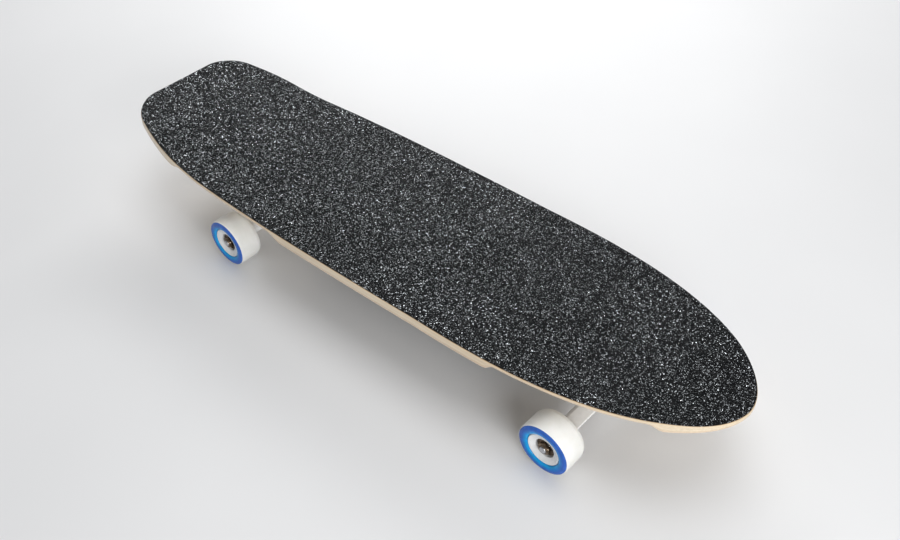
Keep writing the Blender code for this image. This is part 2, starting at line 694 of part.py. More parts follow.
def make_hanger(end, place, along_pin, along_steer):
    """The cast hanger: a bar round the axle, the ring between the bushings and the pivot's stem."""
    pivot_name = f"{end}_steer"
    pivot = add_pivot(pivot_name, place @ STEER_CENTRE)
    bar = loft([[(x, y, z) for x, z in BAR_SECTION] for y in (-BAR_END_Y, BAR_END_Y)])
    lengthwise = [e for e in bar.edges if abs(e.verts[0].co.y - e.verts[1].co.y) > 1]
    bmesh.ops.bevel(bar, geom=lengthwise, offset=0.8, segments=1, affect="EDGES", profile=0.5)
    hanger = add_object(f"{end}_hanger", bar, "white_paint", place, pivot)

    ring = post([(RING_RADIUS - 1, -RING_HALF), (RING_RADIUS, 0), (RING_RADIUS - 1, RING_HALF)], 24)
    combine(hanger, "UNION", f"{end}_ring", ring, along_pin)
    neck = block((0.0, -12, -1.5), (STEER_CENTRE.x - 9.5, 12, BAR_TOP - 0.4))
    combine(hanger, "UNION", f"{end}_neck", neck, place)
    arm_foot = [(-9.0, -9, 0.0), (-9.0, 9, 0.0), (3.0, 9, 5.0), (3.0, -9, 5.0)]
    head_centre = STEER_CENTRE + steer_axis() * 37.0
    square = Vector((math.sin(STEER_ANGLE), 0.0, math.cos(STEER_ANGLE))) * 5.5
    corners = ((-1, -6), (-1, 6), (1, 6), (1, -6))
    arm_head = [head_centre + square * rise + Vector((0, y, 0)) for rise, y in corners]
    combine(hanger, "UNION", f"{end}_pivot_arm", loft([arm_foot, arm_head]), place)
    tip = PIVOT_DEEP - 1.5 - 2 * GAP
    stem = [(6.0, 32.0), (6.0, 38.0), (PIVOT_RADIUS, 41.0), (PIVOT_RADIUS, tip - 2.5), (2.6, tip)]
    combine(hanger, "UNION", f"{end}_pivot_stem", post(stem, 20), along_steer)

    hole = post([(7.4, -RING_HALF - 10), (7.4, RING_HALF + 10)], 24)
    combine(hanger, "DIFFERENCE", f"{end}_ring_hole", hole, along_pin)
    bore = post([(AXLE_RADIUS + GAP, -BAR_END_Y - 5), (AXLE_RADIUS + GAP, BAR_END_Y + 5)], 16)
    combine(hanger, "DIFFERENCE", f"{end}_axle_bore", bore, place @ sideways(1, 0, 0, 0))

    reach = WHEEL_INNER_Y + AXLE_END
    rod = [(AXLE_RADIUS - 0.7, -reach), (AXLE_RADIUS, 0.7 - reach)]
    rod += [(AXLE_RADIUS, reach - 0.7), (AXLE_RADIUS - 0.7, reach)]
    add_object(f"{end}_axle", post(rod, 16), "steel", place @ sideways(1, 0, 0, 0), pivot)
    return pivot


# ---- wheels -----------------------------------------------------------------------------


def make_wheel(corner, axle_x, side, hanger_pivot, has_motor):
    """A tyre on its hub, turning on two bearings, with the nut that holds it on the axle."""
    face_y = side * WHEEL_INNER_Y
    place = sideways(side, axle_x, face_y, AXLE_Z)
    flat_down = math.pi / TYRE_SIDES
    spin = add_pivot(f"{corner}_spin", (axle_x, face_y, AXLE_Z), hanger_pivot)

    tyre = [(24.3, 0.8), (27.0, 0.0), (29.3, 1.2), (TYRE_RADIUS, 4.6), (TYRE_RADIUS, 29.2)]
    tyre += [(30.3, 30.8), (30.2, 30.8), (30.2, 28.4), (24.3, 28.4)]
    add_object(f"{corner}_tyre", turned(tyre, TYRE_SIDES, flat_down), "white_urethane", place, spin)

    seat = BEARING_RADIUS + GAP
    hub = [(seat, 1.8), (HUB_RADIUS, 1.8), (HUB_RADIUS, 28.7), (29.9, 28.7), (29.9, 30.8)]
    hub += [(27.4, 31.7), (24.5, 32.0), (22.0, 31.7), (HUB_INNER_RADIUS, 30.8)]
    hub += [(HUB_INNER_RADIUS, 9.0), (seat, 9.0)]
    add_object(f"{corner}_hub", turned(hub, 24), "blue_enamel", place, spin)

    rim = HUB_INNER_RADIUS - GAP
    cover = [(seat, 16.5), (15.0, 16.5), (15.0, 24.0), (rim, 26.0), (rim, 30.0), (18.6, 30.5)]
    cover += [(11.9, 28.1), (seat, 27.6)]
    add_object(f"{corner}_hub_cover", turned(cover, 20), "white_plastic", place, spin)

    for name, start in (("outer_bearing", OUTER_BEARING_START), ("inner_bearing", INNER_BEARING_START)):
        end = start + BEARING_WIDTH
        race = [(BEARING_BORE, start), (BEARING_RADIUS, start)]
        race += [(BEARING_RADIUS, end), (BEARING_BORE, end)]
        add_object(f"{corner}_{name}", turned(race, 16), "steel", place, spin)

    nut_radius = AXLE_NUT_ACROSS_FLATS / 2 / math.cos(math.pi / 6)
    nut = hex_nut(nut_radius, BEARING_BORE, AXLE_NUT_START, AXLE_NUT_START + AXLE_NUT_THICKNESS)
    add_object(f"{corner}_axle_nut", nut, "steel", place, hanger_pivot)
    if has_motor:
        make_stator(corner, place, hanger_pivot)


def make_stator(corner, place, hanger_pivot):
    """The motor's wound core, fixed on the axle inside the rear hub."""
    teeth = 12
    low = Vector((0.0, 0.0, 9.8))
    high = Vector((0.0, 0.0, 15.8))
    rings = []
    for step in range(teeth * 4):
        angle = 2 * math.pi * step / (teeth * 4)
        reach = 18.8 if step % 4 < 2 else 14.0
        edge = Vector((math.cos(angle), math.sin(angle), 0.0))
        rings.append([edge * BEARING_BORE + low, edge * reach + low])
        rings[-1] += [edge * reach + high, edge * BEARING_BORE + high]
    rings.append(rings[0])
    shape = loft(rings, closed_ends=False)
    bmesh.ops.remove_doubles(shape, verts=shape.verts, dist=1e-4)
    add_object(f"{corner}_stator", shape, "copper", place, hanger_pivot)


def main():
    clear_scene()
    make_deck()
    make_grip_tape()
    make_cover()
    make_gasket()
    make_electronics()
    make_controls()
    for end, axle_x, turn in (("front", FRONT_AXLE_X, math.pi), ("rear", REAR_AXLE_X, 0.0)):
        hanger_pivot = make_truck(end, axle_x, turn)
        for side_name, side in (("left", 1), ("right", -1)):
            make_wheel(f"{end}_{side_name}", axle_x, side, hanger_pivot, end == "rear")


main()
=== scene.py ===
"""The looks of the electric skateboard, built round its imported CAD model.

Sizes are in millimetres in the board's frame: +X to the nose, +Y to the rider's left, +Z up,
with the origin on the ground. Meshes and the camera are in metres, and MM turns one into the other.
"""

import json
import math

import bmesh
import bpy
from mathutils import Matrix, Vector


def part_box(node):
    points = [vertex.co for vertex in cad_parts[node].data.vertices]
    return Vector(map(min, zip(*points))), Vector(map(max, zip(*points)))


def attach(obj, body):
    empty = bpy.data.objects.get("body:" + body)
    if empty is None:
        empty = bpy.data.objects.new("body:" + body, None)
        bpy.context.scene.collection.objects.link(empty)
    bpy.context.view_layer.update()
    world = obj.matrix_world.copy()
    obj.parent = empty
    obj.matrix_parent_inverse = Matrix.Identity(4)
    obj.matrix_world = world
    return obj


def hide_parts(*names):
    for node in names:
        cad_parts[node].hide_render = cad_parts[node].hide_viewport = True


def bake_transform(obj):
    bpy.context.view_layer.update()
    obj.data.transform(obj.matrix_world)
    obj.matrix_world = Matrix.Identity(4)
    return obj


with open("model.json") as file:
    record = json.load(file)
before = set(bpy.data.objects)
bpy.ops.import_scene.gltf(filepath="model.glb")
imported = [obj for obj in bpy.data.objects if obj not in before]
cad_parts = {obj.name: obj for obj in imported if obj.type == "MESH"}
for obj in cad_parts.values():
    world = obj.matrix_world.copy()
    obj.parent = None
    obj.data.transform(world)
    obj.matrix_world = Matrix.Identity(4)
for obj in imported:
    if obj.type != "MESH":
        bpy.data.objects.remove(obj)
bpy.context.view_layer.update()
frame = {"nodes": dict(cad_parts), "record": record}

MM = 0.001
NODE_BODY = {node: body for body, nodes in frame["record"]["behaviour"]["bodies"].items() for node in nodes}


def box_mm(node):
    """Lowest and highest corners of a CAD node, in millimetres."""
    low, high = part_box(node)
    return low / MM, high / MM


# Driving dimensions, from the frame.
DECK_LOW, DECK_HIGH = box_mm("deck")
TAIL_END = DECK_LOW.x
NOSE_TIP = DECK_HIGH.x
LENGTH = NOSE_TIP - TAIL_END
FRONT_AXLE = (box_mm("front_axle")[0] + box_mm("front_axle")[1]) / 2
REAR_AXLE = (box_mm("rear_axle")[0] + box_mm("rear_axle")[1]) / 2

# Deck: the same outline and section as the CAD model, set out more finely.
RIM_Z = 95.9  # height of the raised rim, on top of the grip
NOSE_LENGTH = 330.6
NOSE_HALF_WIDTH = 115.0
NOSE_POWER = 2.65
NOSE_ROUNDNESS = 0.535
WIDEST_X = -82.5
WIDEST_HALF_WIDTH = 117.0
TAIL_TAPER_X = -262.5
TAIL_TAPER_HALF_WIDTH = 112.2
TAIL_CORNER_X = -351.0
TAIL_CORNER_HALF_WIDTH = 105.2
TAIL_CORNER_BLEND = 40.0
TAIL_END_HALF_WIDTH = 78.4
TAIL_END_RADIUS = 34.0
CONCAVE = 3.0
NOSE_FLATTENING = 60.0
TAIL_FLATTENING = 140.0
FLAT_SHARE = 0.6
KICK_START_X = -257.5
KICK_BLEND = 76.0
KICK_ANGLE = math.radians(10.9)
DECK_TOP_DEPTH = 1.15  # from the top of the grip down to the wood
DECK_BOTTOM_DEPTH = 14.5
DECK_THICKNESS = DECK_BOTTOM_DEPTH - DECK_TOP_DEPTH
WELL_THICKNESS = 5.7
NOSE_RIM_THICKNESS = 7.1
REAR_WELL = (-326.0, -306.0, -127.5, -105.5)
FRONT_WELL = (200.5, 213.0, 370.0, 384.0)
WELL_SHARES = (0.60, 0.72)  # the underside rises into each well between these shares of the width
GRIP_EDGE = 0.6  # the grip stops this far inside the rim
GRIP_TOP_DEPTH = 0.1

# Wheel profiles are (radius, distance outwards from the tyre's inner face, corner radius).
TYRE_RADIUS = FRONT_AXLE.z  # so that the round tyre stands on the ground
WHEEL_INNER_Y = box_mm("rear_left_tyre")[0].y
SIDES = 128
BEARING_WIDTH = 6.95
OUTER_BEARING_START = 18.3
INNER_BEARING_START = 1.8
AXLE_NUT_START = 25.6

# Trucks and housing.
GAP = 0.3  # clearance between touching pieces
BASE_THICKNESS = 5.4
BOLT_X = 32.5  # each bolt from the middle of its baseplate
BOLT_Y = 21.0
FLANGE_THICKNESS = 3.0
SCREW_INSET = 4.2  # from the flange's outer edge

# Camera, in metres and degrees: over the nose's right, looking down and back.
CAMERA_PLACE = Vector((0.6753, -0.6300, 0.84685))
CAMERA_YAW = math.radians(44.68)
CAMERA_PITCH = math.radians(41.94)
CAMERA_ROLL = math.radians(-3.67)
LENS = 41.24
SENSOR_WIDTH = 36.0
FLOOR_HALF_SIZE = 6.0

SMOOTH_ANGLE = math.radians(40)  # an edge that turns less than this is shaded smooth
BEVEL_ANGLE = math.radians(32)  # an edge that turns more than this is rounded


# ---- node materials ---------------------------------------------------------------------


def new_material(name, **sockets):
    """A Principled material; each keyword sets the socket of that name, with _ for a space."""
    made = bpy.data.materials.new(name)
    made.use_nodes = True
    shader = made.node_tree.nodes["Principled BSDF"]
    for socket, value in sockets.items():
        words = socket.replace("_", " ").title().replace("Ior", "IOR")
        shader.inputs[words].default_value = value
    return made, made.node_tree, shader


def node(tree, kind, inputs=None, **settings):
    """Adds a node; inputs are values or the sockets to link from."""
    made = tree.nodes.new("ShaderNode" + kind)
    for name, value in settings.items():
        setattr(made, name, value)
    for name, value in (inputs or {}).items():
        if isinstance(value, bpy.types.NodeSocket):
            tree.links.new(value, made.inputs[name])
        else:
            made.inputs[name].default_value = value
    return made


def ramp(tree, factor, *stops):
    """A colour ramp; each stop is a position and a grey value or a colour."""
    made = node(tree, "ValToRGB", {"Fac": factor})
    points = made.color_ramp.elements
    while len(points) < len(stops):
        points.new(1.0)
    for point, (position, colour) in zip(points, stops):
        point.position = position
        point.color = (*colour, 1.0) if isinstance(colour, tuple) else (colour, colour, colour, 1.0)
    return made.outputs["Color"]


def object_position(tree, stretch=(1.0, 1.0, 1.0)):
    """The point in the piece's own coordinates, in metres, squeezed along each axis by stretch."""
    place = node(tree, "TexCoord").outputs["Object"]
    return node(tree, "Mapping", {"Vector": place, "Scale": stretch}).outputs["Vector"]


def noise(tree, size, detail=3.0, stretch=(1.0, 1.0, 1.0)):
    """Noise whose features are about size millimetres across."""
    inputs = {"Vector": object_position(tree, stretch), "Scale": 1 / (size * MM), "Detail": detail}
    return node(tree, "TexNoise", inputs).outputs["Fac"]


def mix(tree, factor, first, second, blend="MIX"):
    made = node(tree, "Mix", data_type="RGBA", blend_type=blend)
    for index, value in ((0, factor), (6, first), (7, second)):
        if isinstance(value, bpy.types.NodeSocket):
            tree.links.new(value, made.inputs[index])
        elif isinstance(value, tuple):
            made.inputs[index].default_value = (*value, 1.0)
        else:
            made.inputs[index].default_value = value
    return made.outputs[2]


def bump(tree, shader, height, depth, strength=1.0, normal=None):
    """Raises the surface by up to depth millimetres where height is 1."""
    inputs = {"Height": height, "Distance": depth * MM, "Strength": strength}
    if normal:
        inputs["Normal"] = normal
    made = node(tree, "Bump", inputs)
    tree.links.new(made.outputs["Normal"], shader.inputs["Normal"])
    return made.outputs["Normal"]


def worn_edges(tree, amount=0.08):
    """White on sharp outer edges, broken up by noise, and black elsewhere."""
    pointiness = node(tree, "NewGeometry").outputs["Pointiness"]
    edge = ramp(tree, pointiness, (0.5 + amount * 0.5, 0.0), (0.5 + amount, 1.0))
    return mix(tree, 1.0, edge, ramp(tree, noise(tree, 2.0), (0.42, 0.0), (0.62, 1.0)), "MULTIPLY")


def grip_material():
    """Black abrasive: a random tilt and shade for each grain, with glittering grains among them."""
    made, tree, shader = new_material("grip_grit", roughness=0.20, specular_ior_level=0.04)
    place = object_position(tree)
    grains = node(tree, "TexVoronoi", {"Vector": place, "Scale": 1 / (0.9 * MM)})
    fine = node(tree, "TexVoronoi", {"Vector": place, "Scale": 1 / (0.5 * MM)})
    shade = node(tree, "SeparateColor", {"Color": grains.outputs["Color"]}).outputs["Red"]
    fine_shade = node(tree, "SeparateColor", {"Color": fine.outputs["Color"]}).outputs["Green"]
    glitter = ramp(tree, shade, (0.94, 0.0), (0.96, 0.7), (0.99, 1.0))
    fine_glitter = ramp(tree, fine_shade, (0.95, 0.0), (1.0, 0.9))
    shining = mix(tree, 1.0, glitter, fine_glitter, "LIGHTEN")
    patches = ramp(tree, noise(tree, 160.0, 2.0), (0.35, 0.7), (0.68, 1.0))
    shining = mix(tree, 1.0, shining, patches, "MULTIPLY")
    dark = ramp(tree, fine_shade, (0.0, (0.0016, 0.0019, 0.0021)), (1.0, (0.009, 0.010, 0.011)))
    tree.links.new(mix(tree, shining, dark, (0.78, 0.82, 0.85)), shader.inputs["Base Color"])
    tree.links.new(shining, shader.inputs["Metallic"])
    centred = node(tree, "VectorMath", {0: grains.outputs["Color"], 1: (0.5, 0.5, 0.5)}, operation="SUBTRACT")
    tilt = node(tree, "VectorMath", {0: centred.outputs[0], "Scale": 0.9}, operation="SCALE")
    surface = node(tree, "NewGeometry").outputs["Normal"]
    leaning = node(tree, "VectorMath", {0: surface, 1: tilt.outputs[0]}, operation="ADD")
    unit = node(tree, "VectorMath", {0: leaning.outputs[0]}, operation="NORMALIZE")
    bump(tree, shader, fine.outputs["Distance"], 0.25, 0.4, unit.outputs[0])
    return made


def maple_material():
    """Lacquered maple. U is the depth through the plies: 0 on the top face and 1 underneath."""
    made, tree, shader = new_material("maple_plies", roughness=0.38, coat_weight=0.35, coat_roughness=0.18)
    depth = node(tree, "SeparateXYZ", {"Vector": node(tree, "UVMap").outputs["UV"]}).outputs["X"]
    cream = (0.74, 0.63, 0.47)
    pale = (0.77, 0.68, 0.55)
    glue = (0.52, 0.38, 0.24)
    edge = (0.16, 0.095, 0.050)
    stops = [(0.0, edge), (0.03, edge), (0.055, (0.72, 0.56, 0.37)), (0.10, cream)]
    stops += [(0.30, cream), (0.315, (0.71, 0.54, 0.35)), (0.33, cream), (0.48, pale)]
    stops += [(0.495, (0.72, 0.56, 0.37)), (0.51, cream), (0.66, cream), (0.675, glue), (0.70, glue)]
    stops += [(0.72, (0.76, 0.61, 0.46)), (0.84, (0.74, 0.60, 0.47)), (0.855, (0.60, 0.44, 0.29))]
    stops += [(0.87, pale), (1.0, pale)]
    plies = ramp(tree, depth, *stops)
    grain = noise(tree, 1.6, 6.0, (0.05, 1.0, 1.0))
    fibres = noise(tree, 0.5, 4.0, (0.02, 1.0, 1.0))
    streaks = ramp(tree, grain, (0.30, 0.88), (0.55, 1.0), (0.75, 1.04))
    threads = ramp(tree, fibres, (0.3, 0.95), (0.6, 1.0))
    broad = noise(tree, 60.0, 2.0, (0.25, 1.0, 1.0))
    figure = ramp(tree, broad, (0.3, (0.97, 0.92, 0.86)), (0.7, (1.03, 1.02, 1.0)))
    wood = mix(tree, 1.0, mix(tree, 1.0, plies, streaks, "MULTIPLY"), threads, "MULTIPLY")
    tree.links.new(mix(tree, 1.0, wood, figure, "MULTIPLY"), shader.inputs["Base Color"])
    bump(tree, shader, fibres, 0.05, 0.35)
    return made


def urethane_material():
    """Creamy white cast urethane, with a trace of road dust and fine scuffs."""
    made, tree, shader = new_material(
        "tyre_urethane",
        roughness=0.36,
        specular_ior_level=0.5,
        subsurface_weight=0.12,
        subsurface_scale=0.004,
    )
    shader.inputs["Subsurface Radius"].default_value = (1.0, 0.8, 0.55)
    clouds = ramp(tree, noise(tree, 14.0, 4.0), (0.35, (0.82, 0.82, 0.79)), (0.65, (0.87, 0.87, 0.85)))
    specks = ramp(tree, noise(tree, 1.2, 2.0), (0.66, 1.0), (0.74, 0.93))
    tree.links.new(mix(tree, 1.0, clouds, specks, "MULTIPLY"), shader.inputs["Base Color"])
    finish = ramp(tree, noise(tree, 6.0, 5.0), (0.3, 0.30), (0.7, 0.42))
    tree.links.new(finish, shader.inputs["Roughness"])
    bump(tree, shader, noise(tree, 0.8, 4.0), 0.03, 0.35)
    return made


def ring_material():
    """Glossy blue enamel. U runs across the ring's face, from its outer edge inwards. Along U the blue
    lightens to cyan at the inner edge, which is painted reflection of the light on the ring's inner flank,
    and the slightly lighter outer edge is painted sheen.
    """
    made, tree, shader = new_material(
        "ring_enamel",
        roughness=0.22,
        specular_ior_level=0.15,
        coat_weight=0.25,
        coat_roughness=0.04,
    )
    across = node(tree, "SeparateXYZ", {"Vector": node(tree, "UVMap").outputs["UV"]}).outputs["X"]
    # The royal blue is the enamel's own colour; the lighter outer edge, the azure and the cyan are painted
    # reflection and sheen.
    royal = (0.010, 0.095, 0.46)
    azure = (0.0, 0.17, 0.56)
    painted_reflection_cyan = (0.0, 0.30, 0.66)
    edge = (0.030, 0.13, 0.50)
    blues_with_painted_reflection = ramp(tree, across, (0.0, edge), (0.35, royal), (0.62, azure), (0.86, painted_reflection_cyan), (1.0, painted_reflection_cyan))
    clouds = ramp(tree, noise(tree, 7.0, 3.0), (0.3, 0.82), (0.7, 1.12))
    tree.links.new(mix(tree, 1.0, blues_with_painted_reflection, clouds, "MULTIPLY"), shader.inputs["Base Color"])
    bump(tree, shader, noise(tree, 1.0, 2.0), 0.02, 0.25)
    return made


def painted_material(name, colour, roughness=0.38, chip=(0.66, 0.66, 0.67)):
    """Powder coat over a casting, with a light orange peel and chips on its sharpest edges."""
    made, tree, shader = new_material(name, roughness=roughness, coat_weight=0.15, coat_roughness=0.2)
    shade = ramp(tree, noise(tree, 9.0, 4.0), (0.3, 0.93), (0.7, 1.03))
    paint = mix(tree, 1.0, colour, shade, "MULTIPLY")
    tree.links.new(mix(tree, worn_edges(tree, 0.16), paint, chip), shader.inputs["Base Color"])
    bump(tree, shader, noise(tree, 0.7, 3.0), 0.05, 0.45)
    return made


def moulded_material(name, colour, roughness=0.55, grain=0.35, depth=0.05):
    """Moulded plastic or rubber, with a spark-eroded grain and polished high spots."""
    made, tree, shader = new_material(name, roughness=roughness)
    shade = ramp(tree, noise(tree, 12.0, 3.0), (0.3, 0.88), (0.7, 1.12))
    base = mix(tree, 1.0, colour, shade, "MULTIPLY")
    lighter = tuple(min(channel * 2.2 + 0.02, 1.0) for channel in colour)
    tree.links.new(mix(tree, worn_edges(tree, 0.12), base, lighter), shader.inputs["Base Color"])
    finish = ramp(tree, noise(tree, 20.0, 4.0), (0.3, roughness - 0.07), (0.7, roughness + 0.07))
    tree.links.new(finish, shader.inputs["Roughness"])
    bump(tree, shader, noise(tree, grain, 3.0), depth, 0.6)
    return made


def metal_material(name, colour, roughness=0.3, stain=0.75):
    """Machined metal with fine brushing, duller patches and bright edges."""
    made, tree, shader = new_material(name, metallic=1.0, roughness=roughness)
    patches = ramp(tree, noise(tree, 5.0, 5.0), (0.3, stain), (0.65, 1.0))
    base = mix(tree, 1.0, colour, patches, "MULTIPLY")
    bright = tuple(min(channel * 1.4 + 0.1, 1.0) for channel in colour)
    tree.links.new(mix(tree, worn_edges(tree, 0.1), base, bright), shader.inputs["Base Color"])
    finish = ramp(tree, noise(tree, 0.6, 4.0), (0.3, roughness - 0.1), (0.7, roughness + 0.12))
    tree.links.new(finish, shader.inputs["Roughness"])
    bump(tree, shader, noise(tree, 0.4, 2.0), 0.012, 0.4)
    return made


def circuit_material():
    """Green solder mask with paler tracks."""
    made, tree, shader = new_material("solder_mask", roughness=0.35, coat_weight=0.4, coat_roughness=0.1)
    tracks = node(tree, "TexBrick", {"Vector": object_position(tree), "Scale": 180.0, "Mortar Size": 0.03})
    tracks.inputs["Color1"].default_value = (0.008, 0.11, 0.045, 1.0)
    tracks.inputs["Color2"].default_value = (0.010, 0.13, 0.055, 1.0)
    tracks.inputs["Mortar"].default_value = (0.10, 0.30, 0.12, 1.0)
    tree.links.new(tracks.outputs["Color"], shader.inputs["Base Color"])
    bump(tree, shader, tracks.outputs["Fac"], 0.03, 0.5)
    return made


def lens_material():
    """Frosted light pipe over the charge indicator."""
    made, tree, shader = new_material("frosted_lens", roughness=0.22, transmission_weight=0.25, ior=1.49)
    cells = noise(tree, 4.0, 2.0, (1.0, 0.2, 0.2))
    tint = ramp(tree, cells, (0.3, (0.62, 0.80, 0.90)), (0.7, (0.80, 0.92, 0.97)))
    tree.links.new(tint, shader.inputs["Base Color"])
    bump(tree, shader, noise(tree, 0.6, 2.0), 0.02, 0.4)
    return made


def floor_material():
    made, tree, shader = new_material("studio_floor", roughness=0.55)
    shade = ramp(tree, noise(tree, 400.0, 3.0), (0.3, (0.74, 0.74, 0.745)), (0.7, (0.77, 0.77, 0.775)))
    tree.links.new(shade, shader.inputs["Base Color"])
    bump(tree, shader, noise(tree, 3.0, 3.0), 0.03, 0.2)
    return made


FINISH = {
    "grip": grip_material(),
    "maple": maple_material(),
    "white_urethane": urethane_material(),
    "blue_enamel": ring_material(),
    "white_paint": painted_material("white_powder_coat", (0.92, 0.92, 0.92)),
    "white_plastic": moulded_material("white_nylon", (0.74, 0.745, 0.74), 0.30, 0.8, 0.02),
    "black_plastic": moulded_material("black_moulding", (0.022, 0.023, 0.025)),
    "black_rubber": moulded_material("black_rubber", (0.016, 0.016, 0.018), 0.78, 0.6, 0.06),
    "amber_urethane": moulded_material("amber_bushing", (0.70, 0.47, 0.20), 0.34, 0.9, 0.02),
    "steel": metal_material("zinc_steel", (0.60, 0.60, 0.61)),
    # Dark bronze: the shield's own colour, darkened further as painted shade of the wheel's recess.
    "shield": metal_material("bronze_shield_and_painted_shade", (0.13, 0.092, 0.060), 0.34, 0.35),
    "bronze": metal_material("bronzed_nut", (0.27, 0.20, 0.14), 0.28, 0.5),
    "copper": metal_material("enamelled_copper", (0.62, 0.27, 0.13), 0.35),
    "aluminium": metal_material("cast_aluminium", (0.62, 0.63, 0.65), 0.42),
    "battery_wrap": moulded_material("shrink_wrap", (0.03, 0.16, 0.30), 0.32, 1.5, 0.08),
    "circuit_board": circuit_material(),
    "lens": lens_material(),
}


# ---- mesh helpers -----------------------------------------------------------------------


def skin(rows, marks):
    """A closed skin over rows of points that go right round. U is each point's mark and V the row."""
    shape = bmesh.new()
    uv = shape.loops.layers.uv.new("UVMap")
    loops = [[shape.verts.new(point) for point in row] for row in rows]
    across = len(rows[0])
    for i in range(len(rows)):
        near, far = loops[i], loops[(i + 1) % len(rows)]
        for j in range(across):
            k = (j + 1) % across
            face = shape.faces.new((near[j], near[k], far[k], far[j]))
            corners = ((marks[j], i), (marks[k], i), (marks[k], i + 1), (marks[j], i + 1))
            for loop, (u, v) in zip(face.loops, corners):
                loop[uv].uv = (u, v / len(rows))
    return shape


def rounded(profile, steps=4):
    """A closed profile of (radius, height, corner radius) as points, with each corner an arc."""
    points = []
    count = len(profile)
    for i, (r, z, fillet) in enumerate(profile):
        corner = Vector((r, z))
        if fillet <= 0:
            points.append(corner)
            continue
        before = (Vector(profile[i - 1][:2]) - corner).normalized()
        after = (Vector(profile[(i + 1) % count][:2]) - corner).normalized()
        half = before.angle(after) / 2
        reach = fillet / math.tan(half)
        centre = corner + (before + after).normalized() * fillet / math.sin(half)
        start = corner + before * reach - centre
        end = corner + after * reach - centre
        for step in range(steps + 1):
            share = step / steps
            blend = start.lerp(end, share)
            points.append(centre + blend.normalized() * fillet)
    return points


def turned(profile, sides=SIDES, span=None):
    """A ring round +Z. U goes from 0 to 1 between the two radii in span."""
    points = rounded(profile)
    low, high = span or (0.0, 1.0)
    marks = [min(max((point.x - low) / (high - low), 0.0), 1.0) for point in points]
    rows = []
    for step in range(sides):
        angle = 2 * math.pi * step / sides
        rows.append([(p.x * math.cos(angle), p.x * math.sin(angle), p.y) for p in points])
    return skin(rows, marks)


def finish_piece(name, shape, slot, body, place=None, finish=None):
    """Links a bmesh, given in millimetres, as a piece that rides on a body, if one is given."""
    bmesh.ops.remove_doubles(shape, verts=shape.verts, dist=0.002)
    if place:
        bmesh.ops.transform(shape, matrix=place, verts=shape.verts)
    bmesh.ops.scale(shape, vec=(MM, MM, MM), verts=shape.verts)
    bmesh.ops.recalc_face_normals(shape, faces=shape.faces)
    mesh = bpy.data.meshes.new(name)
    shape.to_mesh(mesh)
    shape.free()
    mesh.shade_smooth()
    mesh.set_sharp_from_angle(angle=SMOOTH_ANGLE)
    piece = bpy.data.objects.new(name, mesh)
    piece.data.materials.append(FINISH[finish or slot])
    bpy.context.scene.collection.objects.link(piece)
    if body:
        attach(piece, body)
    return piece


def refined(node_name, slot, width, segments=2, bends=False):
    """Stands a copy of a CAD node in its place, with its edges rounded. One that bends rides on no body."""
    shape = bmesh.new()
    shape.from_mesh(frame["nodes"][node_name].data)
    bmesh.ops.scale(shape, vec=(1 / MM,) * 3, verts=shape.verts)
    bmesh.ops.remove_doubles(shape, verts=shape.verts, dist=0.01)
    flat = math.radians(1.0)
    bmesh.ops.dissolve_limit(shape, angle_limit=flat, verts=shape.verts, edges=shape.edges)
    sharp = [e for e in shape.edges if len(e.link_faces) == 2 and e.calc_face_angle() > BEVEL_ANGLE]
    bmesh.ops.bevel(
        shape, geom=sharp, offset=width, segments=segments, affect="EDGES", profile=0.5, clamp_overlap=True
    )
    body = None if bends else NODE_BODY[node_name]
    piece = finish_piece(f"{node_name}_shape", shape, slot, body)
    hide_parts(node_name)
    return piece


def make_bushing(end, which):
    """A bushing that rides on no body, with its transform baked into the mesh."""
    bushing = refined(f"{end}_{which}_bushing", "amber_urethane", 0.8, 3, bends=True)
    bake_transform(bushing)


# ---- deck and grip ----------------------------------------------------------------------


def smooth(share):
    share = min(max(share, 0.0), 1.0)
    return share * share * (3 - 2 * share)


def half_width(x):
    """Half of the deck's width at x."""
    nose_start = NOSE_TIP - NOSE_LENGTH
    if x >= nose_start:
        share = min((x - nose_start) / NOSE_LENGTH, 1.0)
        return NOSE_HALF_WIDTH * (1 - share**NOSE_POWER) ** NOSE_ROUNDNESS
    if x >= WIDEST_X:
        share = (x - WIDEST_X) / (nose_start - WIDEST_X)
        return WIDEST_HALF_WIDTH + (NOSE_HALF_WIDTH - WIDEST_HALF_WIDTH) * share**2
    if x >= TAIL_TAPER_X:
        share = (WIDEST_X - x) / (WIDEST_X - TAIL_TAPER_X)
        return WIDEST_HALF_WIDTH + (TAIL_TAPER_HALF_WIDTH - WIDEST_HALF_WIDTH) * share**2
    return tail_half_width(x)


def tail_half_width(x):
    """Two tapers that blend at the tail's corner, then a round corner into the end."""
    first_slope = (TAIL_TAPER_HALF_WIDTH - TAIL_CORNER_HALF_WIDTH) / (TAIL_TAPER_X - TAIL_CORNER_X)
    second_slope = (TAIL_CORNER_HALF_WIDTH - TAIL_END_HALF_WIDTH) / (TAIL_CORNER_X - TAIL_END)
    width = TAIL_TAPER_HALF_WIDTH - first_slope * (TAIL_TAPER_X - x)
    past = TAIL_CORNER_X - x
    if past > TAIL_CORNER_BLEND:
        width -= (second_slope - first_slope) * past
    elif past > -TAIL_CORNER_BLEND:
        into_blend = past + TAIL_CORNER_BLEND
        width -= (second_slope - first_slope) * into_blend**2 / (4 * TAIL_CORNER_BLEND)
    from_end = x - TAIL_END
    if from_end < TAIL_END_RADIUS:
        lean = 1 - max(from_end, 0.0) / TAIL_END_RADIUS
        width -= TAIL_END_RADIUS * (1 - math.sqrt(max(1 - lean**2, 0.0)))
    return width


def kick_height(x):
    past = KICK_START_X - x
    if past <= 0:
        return 0.0
    slope = math.tan(KICK_ANGLE)
    if past < KICK_BLEND:
        return slope * past**2 / (2 * KICK_BLEND)
    return slope * (past - KICK_BLEND / 2)


